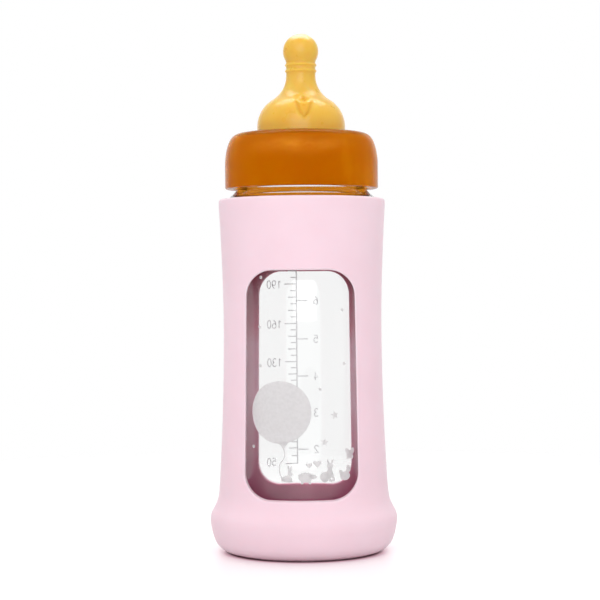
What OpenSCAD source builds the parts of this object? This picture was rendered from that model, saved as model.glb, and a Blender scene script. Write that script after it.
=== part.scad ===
// Wide-neck glass baby bottle in a silicone sleeve, with a screw ring and a rubber teat.
// Millimetres, +Z up. The origin is the centre of the sleeve's foot, on the surface it stands on.
// The front window of the sleeve and the teat's air vent face -Y.

/* [Sleeve] */
// Height of the sleeve's rim
sleeve_h = 133; // [120:1:140]
// Wall of the sleeve
sleeve_wall = 2.5; // [2:0.1:3.2]
// Floor of the sleeve, under the glass
sleeve_floor = 2; // [1.6:0.1:3]
// Outer radius at the waist
waist_r = 29.85; // [28.5:0.05:32]
// Height of the waist
waist_z = 86; // [70:1:95]
// How far the rim stands out past the waist
rim_out = 1.55; // [0.5:0.05:2]
// How far the wall stands out past the waist where the bumper begins
flare_out = 2; // [1:0.1:2.6]
// How far the bumper roll at the foot stands out past the waist
bumper_out = 5.45; // [4.5:0.05:7]
// Radius of the roll's curve
roll_round = 7; // [6.2:0.1:8]
// Height of the bumper's widest line
bumper_z = 12.4; // [11.5:0.1:13.5]
// Radius of the hollow curve from the wall down to the roll
crease_round = 16; // [8:1:18]
// Radius of the round edge from the foot up to the bumper
foot_round = 6; // [5:0.5:7]
// How far the face that the sleeve stands on lies inside the bumper
foot_in = 7.8; // [7.5:0.1:9.5]
// How far the round edge hangs out past the face that the sleeve stands on
foot_lip = 1; // [0.5:0.1:1.5]
// Height of the round edge's underside above that face
foot_step = 0.4; // [0.2:0.1:0.8]
// Width of the face that the sleeve stands on, with the lip
foot_w = 5; // [3:0.5:7]
// Depth of the recess inside the foot
foot_recess = 0.6; // [0.3:0.1:1]

/* [Windows] */
// Height of the band above a window, up to the rim
window_band = 27.1; // [20:0.1:35]
// Height of the sill below a window, down to the roll
window_sill = 6.2; // [5:0.1:16]
// Half width of the front window at its bottom
window_half_bottom = 20.6; // [16:0.1:21]
// Half width of the front window at its top
window_half_top = 19.8; // [15:0.1:20]
// How much narrower the rear window is on each side
rear_window_in = 0.9; // [0:0.1:2]
// Corner radius of a window
window_round = 9.5; // [6:0.5:11]

/* [Glass bottle] */
// Wall of the bottle's body
glass_wall = 2.1; // [1.8:0.1:2.8]
// Floor of the bottle
glass_floor = 3; // [2.4:0.1:4]
// Rise of the hollow under the bottle
punt_h = 1.2; // [0.8:0.1:1.5]
// Width of the flat ring that the bottle stands on
stand_w = 1.2; // [1:0.1:3]
// Outer radius of the heel
heel_round = 6; // [5:0.5:7]
// Height of the shoulder that shows above the sleeve's rim
shoulder_show = 3.7; // [3:0.1:6]
// How far the neck lies inside the top of the body
shoulder_w = 5.1; // [4:0.1:6]
// Height of the neck, from the shoulder up to the mouth's rim
neck_h = 17; // [16:0.1:20]
// Wall of the neck
neck_wall = 2.6; // [2.2:0.1:3]
// Outer radius of the shoulder's curve
shoulder_round = 6; // [5:0.5:7]

/* [Thread] */
// Rise of the thread in one turn
lead = 6; // [5.6:0.1:6.4]
// Height of a thread ridge above its wall
ridge_h = 1.25; // [1.1:0.05:1.3]
// Width of a thread ridge at its root
ridge_w = 2.5; // [2.2:0.1:2.6]
// Turns of the bottle's thread
glass_turns = 1.5; // [1.25:0.25:1.5]
// Turns of the ring's thread
ring_turns = 1.25; // [1:0.25:1.25]

/* [Screw ring] */
// Wall of the ring, from its bore out
ring_wall = 3.65; // [3:0.05:4.5]
// Thickness of the ring's top plate
plate_t = 2; // [1.6:0.1:2.4]
// Height of the ring's straight wall, below its rounded crown
ring_straight = 9.5; // [8:0.5:12]

/* [Teat] */
// Radius of the dome where it comes out of the ring
dome_r = 16.65; // [15.5:0.1:18]
// Wall of the teat
teat_wall = 1.9; // [1.6:0.1:2.2]
// Thickness of the flange that the ring clamps
flange_t = 2.2; // [1.8:0.1:2.6]
// How far the flange's edge lies inside the neck's outside
flange_in = 0.4; // [0.2:0.1:1]
// Radius of the dome's curve
dome_round = 12; // [11.5:0.1:12.5]
// Radius of the hollow flare from dome to nipple
flare_round = 11; // [9.5:0.1:11.5]
// Radius of the nipple's neck
nipple_r = 5.55; // [5.2:0.05:6]
// How far the nipple's ball stands out past its neck
ball_out = 1.15; // [0.9:0.05:1.6]
// Height of a rib on the nipple's neck
rib_h = 0.45; // [0.2:0.05:0.5]
// Radius of the feeding hole
feed_hole_r = 0.4; // [0.3:0.05:0.6]
// Radius of the air vent's hole
vent_hole_r = 0.5; // [0.4:0.05:0.7]
// Height of the vent on the dome's curve, in degrees up from level
vent_angle = 53; // [30:1:56]
// Turn of the vent from the front, in degrees
vent_turn = 7; // [0:1:359]

/* [Fits] */
// Gap between the glass and the sleeve
sleeve_gap = 0.2; // [0.15:0.05:0.3]
// Gap between the teat's dome and the ring's hole
dome_gap = 0.3; // [0.2:0.05:0.4]
// Gap between a thread ridge and the wall that it faces
ridge_gap = 0.45; // [0.4:0.05:0.5]
// Gap between the flanks that carry the ring
flank_gap = 0.25; // [0.2:0.05:0.3]
// Gap from the ring's lower edge down to the neck's foot
skirt_gap = 0.2; // [0.1:0.1:1]

/* [Hidden] */
$fn = 96;
overlap = 1;              // how far a cut runs past a face
bury = 0.6;               // how deep a thread ridge's root lies in its wall
round_steps = 8;          // points of a round corner
curve_steps = 22;         // points of the waist's long curve
thread_steps = 36;        // points of one turn of thread
fade = 25;                // degrees over which a ridge rises at each end

flare_z = 24;             // height at which flare_out is reached
rim_band = 3;             // straight band under the sleeve's rim
shoulder_slope = 38;      // fall of the shoulder below the horizontal, in degrees
rim_round = 1;            // rounding of the sleeve's rim
ring_chamfer = 0.6;

function arc(centre, r, from, to, steps = round_steps) =
    [for (i = [0:steps]) let (a = from + (to - from) * i / steps)
        centre + r * [cos(a), sin(a)]];

function reversed(points) = [for (i = [len(points) - 1:-1:0]) points[i]];

function mirrored(points) = [for (p = points) [-p[0], p[1]]];

// ---- The waisted curve that the sleeve and the glass share ----

rim_z = sleeve_h - rim_band;

// How far the sleeve stands out past its waist at height z, above the waist
function rise_out(z) = rim_out * pow(min(max(z - waist_z, 0) / (rim_z - waist_z), 1), 1.7);

// The same below the waist
function fall_out(z) = flare_out * pow(max(waist_z - z, 0) / (waist_z - flare_z), 2);

// The sleeve's outside from one height to another
function outside_curve(from, to) =
    [for (i = [0:curve_steps]) let (z = from + (to - from) * i / curve_steps)
        [waist_r + rise_out(z) + fall_out(z), z]];

// The pocket that the glass slides into, moved in by inset: straight up to the waist, then wider
function pocket_curve(inset, to) =
    [for (i = [0:curve_steps]) let (z = waist_z + (to - waist_z) * i / curve_steps)
        [waist_r + rise_out(z) - inset, z]];

glass_inset = sleeve_wall + sleeve_gap;
heel_z = sleeve_floor + heel_round;
heel_centre = [waist_r - glass_inset - heel_round, heel_z];

// ---- Silicone sleeve ----

bumper_r = waist_r + bumper_out;
foot_r = bumper_r - foot_in;
foot_centre = [foot_r, foot_step + foot_round];
roll_centre = [bumper_r - roll_round, bumper_z];
// Below its widest line, the side leans in along the line that touches the roll and the foot's round
foot_to_roll = roll_centre - foot_centre;
lean = acos((foot_round - roll_round) / norm(foot_to_roll)) - atan2(foot_to_roll[1], foot_to_roll[0]);
// The hollow curve touches the roll below it and the wall above it
crease_reach = roll_round + crease_round;
crease_x = waist_r + fall_out(bumper_z + roll_round + 4) + crease_round;
crease_angle = acos((crease_x - roll_centre[0]) / crease_reach);
crease_centre = [crease_x, bumper_z + crease_reach * sin(crease_angle)];
rim_r = waist_r + rise_out(sleeve_h);

sleeve_outline = concat(
    [[0, foot_recess], [foot_r - foot_w - foot_recess, foot_recess], [foot_r - foot_w, 0]],
    [[foot_r - foot_lip, 0], [foot_r - foot_lip, foot_step]],
    arc(foot_centre, foot_round, -90, -lean),
    arc(roll_centre, roll_round, -lean, crease_angle),
    arc(crease_centre, crease_round, 180 + crease_angle, 180),
    outside_curve(crease_centre[1] + overlap, sleeve_h - rim_round),
    arc([rim_r - rim_round, sleeve_h - rim_round], rim_round, 20, 90, 4),
    arc([rim_r - sleeve_wall + rim_round, sleeve_h - rim_round], rim_round, 90, 180, 4),
    reversed(pocket_curve(sleeve_wall, sleeve_h - rim_round - overlap)),
    reversed(arc(heel_centre + [0, sleeve_gap], heel_round + sleeve_gap, -90, 0)),
    [[0, sleeve_floor]]
);

window_top = sleeve_h - window_band;
window_bottom = roll_centre[1] + roll_round * sin(crease_angle) + window_sill;

// Right half of a window that is narrower by the given width: its corners, from the bottom up
function window_side(narrower) = concat(
    arc([window_half_bottom - narrower - window_round, window_bottom + window_round], window_round, -90, 0),
    arc([window_half_top - narrower - window_round, window_top - window_round], window_round, 0, 90)
);

// A window's cutter, from the axis out through the front wall
module window(narrower) rotate([90, 0, 0]) linear_extrude(bumper_r + overlap)
    polygon(concat(window_side(narrower), reversed(mirrored(window_side(narrower)))));

module silicone_sleeve() color([0.98, 0.85, 0.89]) difference() {
    rotate_extrude() polygon(sleeve_outline);
    window(0);
    rotate([0, 0, 180]) window(rear_window_in);
}

// ---- Thread ridges ----

// A helical ridge on a wall of radius wall_r. It stands out when side is 1 and in when side is -1.
module thread(wall_r, side, start_z, turns) {
    steps = round(turns * thread_steps);
    foot = ridge_w / 2 + bury * ridge_w / 4 / ridge_h;
    crest = ridge_w / 4;
    // Height above the wall at a step, so that each end dips into the wall
    function height(i) =
        min(ridge_h, ridge_h * min(i, steps - i) * 360 / thread_steps / fade - bury / 2);
    function section(i) = [
        [wall_r - side * bury, -foot], [wall_r + side * height(i), -crest],
        [wall_r + side * height(i), crest], [wall_r - side * bury, foot]
    ];
    function ring_of(i) = let (a = 360 * i / thread_steps, z = start_z + lead * i / thread_steps)
        [for (p = section(i)) [p[0] * cos(a), p[0] * sin(a), z + p[1]]];
    count = 4;
    points = [for (i = [0:steps]) each ring_of(i)];
    skin = [for (i = [0:steps - 1]) for (j = [0:count - 1])
        let (a = i * count + j, b = i * count + (j + 1) % count)
        each [[a, b, b + count], [a, b + count, a + count]]];
    first = [for (j = [1:count - 2]) [0, j + 1, j]];
    last = [for (j = [1:count - 2]) let (k = steps * count) [k, k + j, k + j + 1]];
    faces = concat(skin, first, last);
    polyhedron(points, side > 0 ? faces : [for (f = faces) reversed(f)]);
}

// ---- Glass bottle ----

body_top_r = rim_r - glass_inset;
neck_r = body_top_r - shoulder_w;
neck_foot_z = sleeve_h + shoulder_show;
mouth_z = neck_foot_z + neck_h;
punt_r = heel_centre[0] - stand_w;
fillet = 1.5;
// The shoulder's convex curve ends where its slope begins
slope_angle = 90 - shoulder_slope;
// Height of the convex curve's centre, found from the neck's foot back down the slope
shoulder_fall = (body_top_r - shoulder_round * (1 - cos(slope_angle)) - neck_r) * tan(shoulder_slope);
shoulder_z = neck_foot_z - shoulder_fall - shoulder_round * sin(slope_angle);
shoulder_centre = [body_top_r - shoulder_round, shoulder_z];

// Body curve of the glass from heel to neck foot, moved in by inset; the neck is at radius neck
function body_curve(inset, neck) = concat(
    arc(heel_centre, heel_round - inset, -90, 0),
    pocket_curve(glass_inset + inset, shoulder_z - overlap),
    arc(shoulder_centre, shoulder_round - inset, 0, slope_angle),
    arc([neck + fillet + inset, neck_foot_z + fillet * tan(shoulder_slope) + inset * 0.2], fillet + inset,
        180 + slope_angle, 180, 5)
);

mouth_round = 0.8;
mouth_land = 2;           // plain height between the thread and the mouth

glass_outline = concat(
    [[0, sleeve_floor + punt_h], [punt_r - 2, sleeve_floor + punt_h], [punt_r, sleeve_floor]],
    body_curve(0, neck_r),
    arc([neck_r - mouth_round, mouth_z - mouth_round], mouth_round, 0, 90, 4),
    arc([neck_r - neck_wall + mouth_round, mouth_z - mouth_round], mouth_round, 90, 180, 4),
    reversed(body_curve(glass_wall, neck_r - neck_wall)),
    [[0, sleeve_floor + glass_floor]]
);

// Height of the glass ridge's middle line at its lower end, counted down from the mouth
thread_z = mouth_z - mouth_land - ridge_w / 2 - lead * glass_turns;

module glass_bottle() color([0.9, 0.95, 0.95, 0.4]) {
    rotate_extrude() polygon(glass_outline);
    thread(neck_r, 1, thread_z, glass_turns);
}

// ---- Teat ----

flange_top = mouth_z + flange_t;
ring_top = flange_top + plate_t;
ring_bottom = neck_foot_z + skirt_gap;
ring_h = ring_top - ring_bottom;
flange_r = neck_r - flange_in;

dome_centre = [dome_r - dome_round, ring_top + 2.4];
// The flare's curve touches the dome's curve and ends upright at the nipple's neck
flare_x = nipple_r + flare_round;
flare_rise = sqrt(pow(dome_round + flare_round, 2) - pow(flare_x - dome_centre[0], 2));
flare_centre = [flare_x, dome_centre[1] + flare_rise];
touch_angle = atan2(flare_rise, flare_x - dome_centre[0]);
// Ribs and ball above the flare
ball_r = nipple_r + ball_out;
rib_pitch = 2.25;
rib_lift = 1.5;           // from the flare's upper end to the lower rib
ball_lift = 0.35;         // plain height under the ball
rib_z = flare_centre[1] + rib_lift;
ball_foot = acos(nipple_r / ball_r);
ball_centre = [0, rib_z + 1.5 * rib_pitch + ball_lift + ball_r * sin(ball_foot)];

// Nipple's neck, moved in by inset; ribs is the height of its ribs
function nipple_neck(inset, ribs) =
    [for (i = [-2:6]) [nipple_r - inset + (i % 4 == 0 ? ribs : 0), rib_z + i * rib_pitch / 4]];

// Outside of the teat from the ring's hole to the tip, or its inside when inset is the wall
function teat_curve(inset, ribs) = concat(
    [[dome_r - inset, dome_centre[1]]],
    arc(dome_centre, dome_round - inset, 4, touch_angle, 12),
    arc(flare_centre, flare_round + inset, 180 + touch_angle - 4, 180, 10),
    nipple_neck(inset, ribs),
    arc(ball_centre, ball_r - inset, -ball_foot + 6, 86, 14),
    [[0, ball_centre[1] + ball_r - inset]]
);

teat_outline = concat(
    [[dome_r - teat_wall, mouth_z], [flange_r, mouth_z], [flange_r, flange_top], [dome_r, flange_top]],
    teat_curve(0, rib_h),
    reversed(teat_curve(teat_wall, 0))
);

module teat() color([0.94, 0.76, 0.32]) difference() {
    rotate_extrude() polygon(teat_outline);
    translate([0, 0, ball_centre[1]]) cylinder(r = feed_hole_r, h = ball_r + overlap);
    rotate([0, 0, vent_turn]) translate([0, -dome_centre[0], dome_centre[1]])
        rotate([90 - vent_angle, 0, 0]) translate([0, 0, dome_round - teat_wall - overlap])
        cylinder(r = vent_hole_r, h = teat_wall + 2 * overlap);
}

// ---- Screw ring ----

ring_bore_r = neck_r + ridge_h + ridge_gap;
ring_r = ring_bore_r + ring_wall;
hole_r = dome_r + dome_gap;
crown_steps = 16;
crown_h = ring_h - ring_straight;

// The crown's rounding, as shares of its width at shares of its height
function crown(share) = pow(1 - pow(share, 1.6), 0.16);

ring_outline = concat(
    [[ring_bore_r + ring_chamfer, ring_bottom], [ring_r - ring_chamfer, ring_bottom],
     [ring_r, ring_bottom + ring_chamfer]],
    [for (i = [0:crown_steps]) let (share = sin(90 * i / crown_steps))
        [hole_r + (ring_r - hole_r) * crown(share), ring_bottom + ring_straight + crown_h * share]],
    [[hole_r, flange_top], [ring_bore_r, flange_top], [ring_bore_r, ring_bottom + ring_chamfer]]
);

// Flanks are flank_gap apart where the ridges overlap
flank_step = ridge_w * 0.75 - ridge_w / 4 * ridge_gap / ridge_h + flank_gap;

module screw_ring() color([0.75, 0.4, 0.05]) {
    rotate_extrude() polygon(ring_outline);
    thread(ring_bore_r, -1, thread_z - flank_step, ring_turns);
}

silicone_sleeve();
glass_bottle();
teat();
screw_ring();
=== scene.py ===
"""Looks of a wide-neck glass baby bottle in a silicone sleeve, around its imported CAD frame."""

import math

import bmesh
import bpy
import numpy as np
from mathutils import Matrix, Vector


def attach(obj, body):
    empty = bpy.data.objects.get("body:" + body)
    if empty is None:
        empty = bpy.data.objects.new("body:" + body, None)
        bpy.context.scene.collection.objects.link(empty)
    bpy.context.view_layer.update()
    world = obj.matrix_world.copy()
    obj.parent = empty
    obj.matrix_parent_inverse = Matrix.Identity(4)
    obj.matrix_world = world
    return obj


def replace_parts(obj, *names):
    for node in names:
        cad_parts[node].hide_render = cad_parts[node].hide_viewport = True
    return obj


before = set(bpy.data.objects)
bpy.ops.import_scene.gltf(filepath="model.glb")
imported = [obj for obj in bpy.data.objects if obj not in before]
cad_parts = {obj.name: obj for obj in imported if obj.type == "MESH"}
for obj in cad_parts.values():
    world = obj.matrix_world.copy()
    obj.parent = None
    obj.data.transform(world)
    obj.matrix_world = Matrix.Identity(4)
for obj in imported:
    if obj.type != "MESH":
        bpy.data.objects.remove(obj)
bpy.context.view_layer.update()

MM = 0.001

# ---- Sizes in millimetres, the same as the CAD's ----

SLEEVE_H = 133.0
SLEEVE_WALL = 2.5
SLEEVE_FLOOR = 2.0
WAIST_R = 29.85
WAIST_Z = 86.0
RIM_OUT = 1.55
RIM_Z = SLEEVE_H - 3.0
RIM_CURVE = 1.7  # power of the curve from the waist out to the rim
RIM_ROUND = 1.0
FLARE_OUT = 2.0
FLARE_Z = 24.0
BUMPER_R = WAIST_R + 5.45
BUMPER_Z = 12.4
ROLL_ROUND = 7.0
CREASE_ROUND = 16.0
CREASE_RISE = 4.0  # how far above the roll the crease takes the side's radius
FOOT_ROUND = 6.0
FOOT_R = BUMPER_R - 7.8
FOOT_LIP = 1.0
FOOT_STEP = 0.4
FOOT_W = 5.0
FOOT_RECESS = 0.6
WINDOW_TOP = SLEEVE_H - 27.1
WINDOW_SILL = 6.2
WINDOW_HALF_BOTTOM = 20.6
WINDOW_HALF_TOP = 19.8
REAR_WINDOW_IN = 0.9
WINDOW_ROUND = 9.5

SLEEVE_GAP = 0.2
GLASS_INSET = SLEEVE_WALL + SLEEVE_GAP
GLASS_WALL = 2.1
GLASS_FLOOR = 3.0
PUNT_H = 1.2
HEEL_ROUND = 6.0
STAND_W = 1.2
SHOULDER_ROUND = 6.0
SHOULDER_SLOPE = 38.0
NECK_FOOT_Z = SLEEVE_H + 3.7
NECK_H = 17.0
NECK_IN = 5.1  # how far the neck lies inside the top of the body
NECK_WALL = 2.6
MOUTH_Z = NECK_FOOT_Z + NECK_H
MOUTH_ROUND = 0.8
NECK_FILLET = 1.5

LEAD = 6.0
RIDGE_H = 1.25
RIDGE_W = 2.5
GLASS_TURNS = 1.5
RING_TURNS = 1.25
RIDGE_GAP = 0.45
FLANK_GAP = 0.25
FADE = 25.0
THREAD_Z = MOUTH_Z - 2.0 - RIDGE_W / 2 - LEAD * GLASS_TURNS
FLANK_STEP = RIDGE_W * 0.75 - RIDGE_W / 4 * RIDGE_GAP / RIDGE_H + FLANK_GAP

FLANGE_T = 2.2
PLATE_T = 2.0
FLANGE_TOP = MOUTH_Z + FLANGE_T
RING_TOP = FLANGE_TOP + PLATE_T
RING_BOTTOM = NECK_FOOT_Z + 0.2
RING_STRAIGHT = 9.5
RING_WALL = 3.65
RING_CHAMFER = 0.6
CROWN_GLOW_Z = RING_TOP - 6.0

DOME_R = 16.65
DOME_ROUND = 12.0
DOME_GAP = 0.3
TEAT_WALL = 1.9
FLARE_ROUND = 11.0
NIPPLE_R = 5.55
BALL_R = NIPPLE_R + 1.15
RIB_H = 0.45
RIB_PITCH = 2.25
RIB_LIFT = 1.5
BALL_LIFT = 0.35
FEED_HOLE_R = 0.4
VENT_TURN = 6.5

AROUND = 240  # faces around a turned piece
TEAT_AROUND = 320  # faces around the teat, whose vent is finer


# ---- Curves ----

def clamp(value, low=0.0, high=1.0):
    """The value, held between low and high."""
    return min(high, max(low, value))


def polar(centre, r, angle):
    """The point at a distance and in a direction, in degrees, from a centre."""
    a = math.radians(angle)
    return (centre[0] + r * math.cos(a), centre[1] + r * math.sin(a))


def sind(angle):
    """The sine of an angle in degrees."""
    return math.sin(math.radians(angle))


def cosd(angle):
    """Its cosine."""
    return math.cos(math.radians(angle))


def arc(centre, r, start, end, steps=10):
    """Points of an arc, its angles in degrees."""
    return [polar(centre, r, a) for a in np.linspace(start, end, steps + 1)]


def rise_out(z):
    """How far the sleeve stands out past its waist, above the waist."""
    return RIM_OUT * clamp((z - WAIST_Z) / (RIM_Z - WAIST_Z)) ** RIM_CURVE


def fall_out(z):
    """The same below the waist."""
    return FLARE_OUT * (max(WAIST_Z - z, 0) / (WAIST_Z - FLARE_Z)) ** 2


def outside(z):
    """The sleeve's outer radius, down to where the hollow curve meets the bumper's roll."""
    if z < CREASE_CENTRE[1]:
        return CREASE_CENTRE[0] - math.sqrt(CREASE_ROUND ** 2 - (CREASE_CENTRE[1] - z) ** 2)
    return WAIST_R + rise_out(z) + fall_out(z)


ROLL_CENTRE = (BUMPER_R - ROLL_ROUND, BUMPER_Z)
CREASE_X = WAIST_R + fall_out(BUMPER_Z + ROLL_ROUND + CREASE_RISE) + CREASE_ROUND
CREASE_ANGLE = math.degrees(math.acos((CREASE_X - ROLL_CENTRE[0]) / (ROLL_ROUND + CREASE_ROUND)))
CREASE_SINE = sind(CREASE_ANGLE)
CREASE_CENTRE = (CREASE_X, BUMPER_Z + (ROLL_ROUND + CREASE_ROUND) * CREASE_SINE)
CREASE_Z = BUMPER_Z + ROLL_ROUND * CREASE_SINE


def pocket(z, inset=SLEEVE_WALL):
    """The radius of the sleeve's pocket, or of the glass in it."""
    return WAIST_R + rise_out(z) - inset


def spaced(points, step):
    """A polyline's points with more between them, no further apart than step."""
    out = [points[0]]
    for a, b in zip(points, points[1:]):
        n = max(1, math.ceil(math.dist(a, b) / step))
        out += [(a[0] + (b[0] - a[0]) * i / n, a[1] + (b[1] - a[1]) * i / n) for i in range(1, n + 1)]
    return out


# ---- Meshes ----

def placed(name, data):
    """A new object in the scene."""
    thing = bpy.data.objects.new(name, data)
    bpy.context.scene.collection.objects.link(thing)
    return thing


def finish_piece(name, mesh, body, material, sharp=40.0):
    """A smooth-shaded piece that rides on a body."""
    mesh.materials.append(material)
    for polygon in mesh.polygons:
        polygon.use_smooth = True
    mesh.set_sharp_from_angle(angle=math.radians(sharp))
    piece = placed(name, mesh)
    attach(piece, body)
    return piece


def grid_faces(rows, columns, wrap_rows):
    """Quads between the rows of a grid whose columns go all the way round."""
    faces = []
    for i in range(rows if wrap_rows else rows - 1):
        a, b = i * columns, ((i + 1) % rows) * columns
        for j in range(columns):
            k = (j + 1) % columns
            faces.append((a + j, a + k, b + k, b + j))
    return faces


def circle(r, z, around, moved=None):
    """A row of points round the axis; moved(r, z, angle) may give each another radius."""
    row = []
    for a in np.radians(np.arange(around) * 360 / around):
        q = moved(r, z, math.degrees(a)) if moved else r
        row.append((q * math.cos(a) * MM, q * math.sin(a) * MM, z * MM))
    return row


def turned(name, outline, moved=None, around=AROUND):
    """A closed mesh of revolution. The outline is a closed loop, or runs from axis to axis."""
    outline = [p for i, p in enumerate(outline) if i == 0 or math.dist(p, outline[i - 1]) > 1e-5]
    poles = outline[0][0] < 1e-6
    body = outline[1:-1] if poles else outline
    verts = [point for r, z in body for point in circle(r, z, around, moved)]
    faces = grid_faces(len(body), around, not poles)
    if poles:
        for end, row in ((outline[0], 0), (outline[-1], (len(body) - 1) * around)):
            verts.append((0, 0, end[1] * MM))
            tip = len(verts) - 1
            for j in range(around):
                k = (j + 1) % around
                faces.append((tip, row + j, row + k) if row else (tip, row + k, row + j))
    mesh = bpy.data.meshes.new(name)
    mesh.from_pydata(verts, [], faces)
    outward(mesh)
    return mesh


def outward(mesh):
    """Merges doubled points and turns every face outward."""
    bm = bmesh.new()
    bm.from_mesh(mesh)
    bmesh.ops.remove_doubles(bm, verts=bm.verts, dist=1e-6)
    bmesh.ops.recalc_face_normals(bm, faces=bm.faces)
    bm.to_mesh(mesh)
    bm.free()


def mark(mesh, name, value):
    """Stores value(radius, height, angle), in millimetres and degrees, at each vertex under the name."""
    layer = mesh.attributes.new(name, "FLOAT", "POINT")
    for i, v in enumerate(mesh.vertices):
        angle = math.degrees(math.atan2(v.co.y, v.co.x))
        layer.data[i].value = value(math.hypot(v.co.x, v.co.y) / MM, v.co.z / MM, angle)


def ridge(z, angle, start_z, turns):
    """Height of a helical ridge above its wall at a height and an angle."""
    best = 0.0
    for lap in range(math.ceil(turns) + 1):
        along = angle + 360 * lap
        if not 0 <= along <= 360 * turns:
            continue
        off = abs(z - start_z - LEAD * along / 360)
        flank = clamp((RIDGE_W / 2 - off) / (RIDGE_W / 4))
        fade = min(1, along / FADE, (360 * turns - along) / FADE)
        best = max(best, RIDGE_H * (3 * flank ** 2 - 2 * flank ** 3) * fade)
    return best


# ---- Materials ----

def linear(r, g, b):
    """A colour written in sRGB, 0 to 255, as the linear one that shaders take."""
    return tuple(c / 255 / 12.92 if c <= 10 else ((c / 255 + 0.055) / 1.055) ** 2.4 for c in (r, g, b)) + (1,)


def add_node(nodes, kind, **values):
    """A new shader node, with values on its inputs by name; underscores stand for spaces."""
    node = nodes.new("ShaderNode" + kind)
    for name, value in values.items():
        node.inputs[name.replace("_", " ")].default_value = value
    return node


def add_math(nodes, links, operation, *values):
    """The result of a Math node over sockets and plain numbers."""
    node = add_node(nodes, "Math")
    node.operation = operation
    for socket, value in zip(node.inputs, values):
        if isinstance(value, (int, float)):
            socket.default_value = value
        else:
            links.new(value, socket)
    return node.outputs[0]


class Paint:
    """A node material built step by step around one Principled shader."""

    def __init__(self, name, **values):
        self.material = bpy.data.materials.new(name)
        self.material.use_nodes = True
        self.nodes = self.material.node_tree.nodes
        self.links = self.material.node_tree.links
        self.link = self.links.new
        self.shader = self.nodes["Principled BSDF"]
        self.output = self.nodes["Material Output"]
        for key, value in values.items():
            self.shader.inputs[key.replace("_", " ")].default_value = value

    def noise(self, scale, detail=3.0, stretch=(1, 1, 1)):
        """Noise over the object's own coordinates, scale in features a metre."""
        place = add_node(self.nodes, "TexCoord")
        turn = add_node(self.nodes, "Mapping", Scale=stretch)
        noise = add_node(self.nodes, "TexNoise", Scale=scale, Detail=detail)
        self.link(place.outputs["Object"], turn.inputs["Vector"])
        self.link(turn.outputs["Vector"], noise.inputs["Vector"])
        return noise.outputs["Fac"]

    def ramp(self, value, stops):
        """Colours or greys over a value: stops are (place, colour)."""
        ramp = add_node(self.nodes, "ValToRGB")
        elements = ramp.color_ramp.elements
        while len(elements) < len(stops):
            elements.new(0.5)
        for element, (place, colour) in zip(elements, stops):
            element.position = place
            element.color = colour
        self.link(value, ramp.inputs["Fac"])
        return ramp.outputs["Color"]

    def spread(self, value, low, high):
        """The value's middle range stretched to low .. high."""
        node = add_node(self.nodes, "MapRange", From_Min=0.3, From_Max=0.7, To_Min=low, To_Max=high)
        self.link(value, node.inputs["Value"])
        return node.outputs["Result"]

    def bump(self, value, distance, strength=1.0):
        """Bump of a real height, in metres."""
        node = add_node(self.nodes, "Bump", Distance=distance, Strength=strength)
        self.link(value, node.inputs["Height"])
        self.link(node.outputs["Normal"], self.shader.inputs["Normal"])

    def mixed(self, factor, first, second):
        """The first colour where the factor is 0 and the second where it is 1."""
        node = add_node(self.nodes, "Mix")
        node.data_type = "RGBA"
        self.link(factor, node.inputs[0])
        self.link(first, node.inputs[6])
        self.link(second, node.inputs[7])
        return node.outputs[2]

    def plain(self, colour):
        """One colour, as a side of a mix."""
        node = add_node(self.nodes, "RGB")
        node.outputs[0].default_value = colour
        return node.outputs[0]

    def by_height(self, top):
        """0 at the piece's foot and 1 at the given height in millimetres, a little uneven."""
        place = add_node(self.nodes, "TexCoord")
        parts = add_node(self.nodes, "SeparateXYZ")
        self.link(place.outputs["Object"], parts.inputs[0])
        height = add_math(self.nodes, self.links, "MULTIPLY", parts.outputs["Z"], 1 / (top * MM))
        return add_math(self.nodes, self.links, "MULTIPLY_ADD", self.noise(60, 2), 0.03, height)

    def attribute(self, name):
        """What mark() stored under the name."""
        node = add_node(self.nodes, "Attribute")
        node.attribute_name = name
        return node.outputs["Fac"]

    def drive(self, socket, value):
        """Leads a value to one of the shader's sockets."""
        self.link(value, self.shader.inputs[socket])

    def open_to_lamps(self):
        """Rays to the lamps go straight through, so that what is behind the glass is lit."""
        path = add_node(self.nodes, "LightPath")
        clear = add_node(self.nodes, "BsdfTransparent", Color=(0.95, 0.96, 0.96, 1))
        mix = add_node(self.nodes, "MixShader")
        self.link(path.outputs["Is Shadow Ray"], mix.inputs["Fac"])
        self.link(self.shader.outputs["BSDF"], mix.inputs[1])
        self.link(clear.outputs["BSDF"], mix.inputs[2])
        self.link(mix.outputs["Shader"], self.output.inputs["Surface"])


def silicone_paint():
    """Soft pale silicone, with painted shade in its pocket, a deeper pink that is deepest low down and high
    up, and a painted highlight along its cut edges.
    """
    paint = Paint("soft_silicone", Subsurface_Weight=0.25, Subsurface_Scale=0.003, Sheen_Weight=0.04,
                  Sheen_Roughness=0.4, Specular_IOR_Level=0.3)
    paint.shader.inputs["Subsurface Radius"].default_value = (1.0, 0.55, 0.6)
    outer = paint.ramp(paint.noise(45, 4), [(0.3, linear(243, 211, 222)), (0.7, linear(247, 216, 227))])
    # Painted shade: the pocket's walls are a deeper pink than the outside, deepest towards the bottom and the
    # top, lightest in the middle.
    inner = paint.ramp(paint.by_height(SLEEVE_H), [
        (0.15, linear(206, 108, 140)), (0.22, linear(224, 132, 162)), (0.34, linear(246, 174, 198)),
        (0.42, linear(255, 200, 218)), (0.6, linear(255, 200, 218)), (0.65, linear(240, 160, 182)),
        (0.8, linear(212, 122, 144))])
    walls = paint.mixed(paint.attribute("inside"), outer, inner)
    # The lip mask lays a painted highlight, a paler pink, along the outer edge of the cuts.
    paint.drive("Base Color", paint.mixed(paint.attribute("lip"), walls, paint.plain(linear(255, 234, 241))))
    paint.drive("Roughness", paint.spread(paint.noise(220, 2), 0.42, 0.54))
    paint.bump(paint.noise(2600, 2), 0.00003, 0.6)
    return paint.material


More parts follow.
